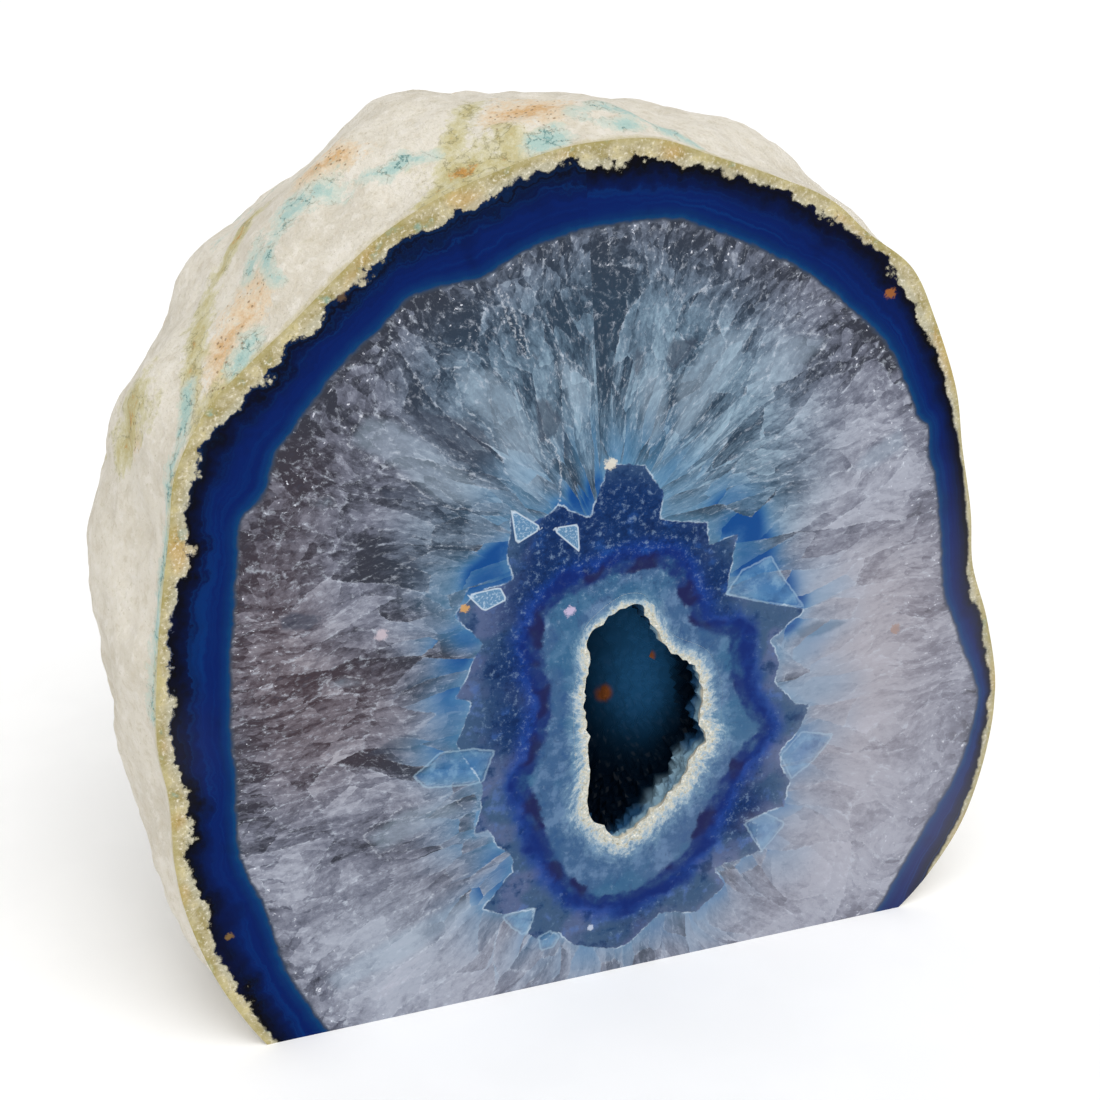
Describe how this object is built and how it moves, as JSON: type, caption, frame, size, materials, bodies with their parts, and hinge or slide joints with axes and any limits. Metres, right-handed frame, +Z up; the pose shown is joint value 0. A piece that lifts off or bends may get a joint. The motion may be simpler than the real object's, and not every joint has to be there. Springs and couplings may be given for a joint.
{
  "type": "agate geode",
  "caption": "Upright half of a blue-dyed agate geode: a polished sawn face with a small crystal-lined hollow, a rough rind behind, and a flat sawn base.",
  "frame": {"origin": "in the plane of the sawn base, under the centre of the stone's box", "axes": "+Z up from the base, -Y out of the polished face, +X to the right as the face is looked at"},
  "size_m": [0.1126, 0.0632, 0.1119],
  "materials": {
    "agate": "sawn face polished to a gloss, blue-dyed band and grey quartz; rind rough and chalky cream; base sawn matt",
    "druse": "small glassy quartz crystals, cream at the rim and dyed dark blue inside"
  },
  "bodies": {
    "root": {"stone": "agate", "druse_crust": "druse"}
  },
  "joints": []
}
